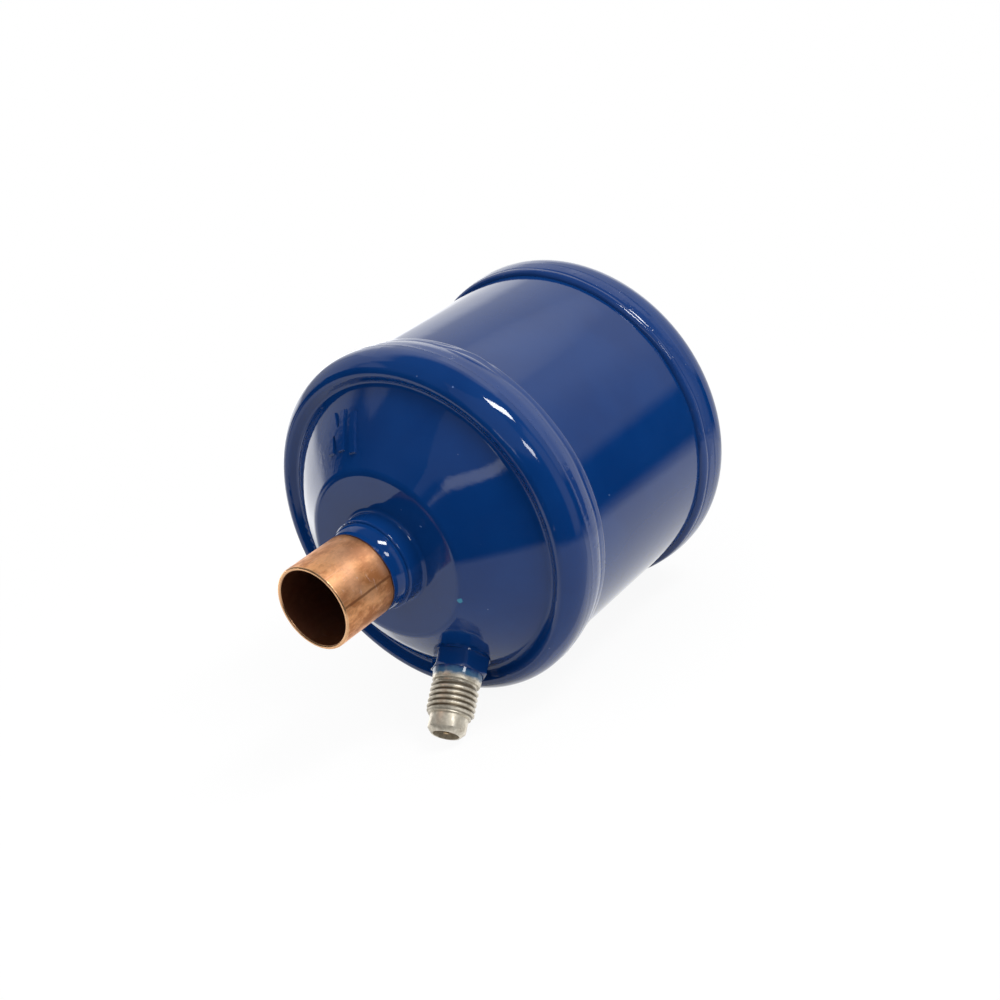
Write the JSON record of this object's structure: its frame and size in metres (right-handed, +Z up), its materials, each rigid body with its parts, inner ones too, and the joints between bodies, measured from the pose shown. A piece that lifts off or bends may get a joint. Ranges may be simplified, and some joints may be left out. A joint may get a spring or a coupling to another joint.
{
  "type": "suction line filter drier",
  "caption": "Welded steel suction line filter drier with domed end caps, copper solder fittings and a flare access valve on the inlet cap.",
  "frame": {"origin": "on the flow axis, midway between the mouths of the two fittings", "axes": "+X along the flow from the inlet to the outlet, +Z up with the drier lying on the rims of its caps and the nose of its access valve"},
  "size_m": [0.1412, 0.0864, 0.0864],
  "materials": {
    "blue_paint": "gloss powder coat",
    "weld_paint": "gloss powder coat over a weld bead",
    "braze_paint": "gloss powder coat over braze",
    "copper": "bare drawn copper, scuffed",
    "valve_nickel": "nickel plated, hexagon painted blue",
    "core_brass": "turned brass",
    "core_rubber": "matt",
    "spring_steel": "drawn wire",
    "plated_steel": "zinc plated sheet",
    "desiccant": "moulded, porous",
    "felt": "needled felt",
    "brass_screen": "perforated sheet"
  },
  "bodies": {
    "drier": {"shell": "blue_paint", "inlet_cap": "blue_paint", "outlet_cap": "blue_paint", "inlet_weld": "weld_paint", "outlet_weld": "weld_paint", "inlet_fitting": "copper", "outlet_fitting": "copper", "inlet_braze": "braze_paint", "outlet_braze": "braze_paint", "valve_body": "valve_nickel", "valve_braze": "braze_paint", "valve_core_body": "core_brass", "valve_core_gasket": "core_rubber", "valve_spring": "spring_steel", "desiccant_core": "desiccant", "filter_sleeve": "felt", "inlet_felt": "felt", "outlet_felt": "felt", "core_end_plate": "plated_steel", "loading_spring": "spring_steel", "core_holder": "plated_steel", "outlet_screen": "brass_screen"},
    "valve_pin": {"valve_pin": "core_brass", "valve_seal": "core_rubber"}
  },
  "joints": [
    {"name": "valve_pin_slide", "type": "slide", "parent": "drier", "child": "valve_pin", "axis": [0.7813, 0.1686, 0.601], "range_m": [0, 0.0015], "stiffness_N_per_m": 900, "springref_m": -0.0012, "deforming": ["valve_spring"]}
  ]
}
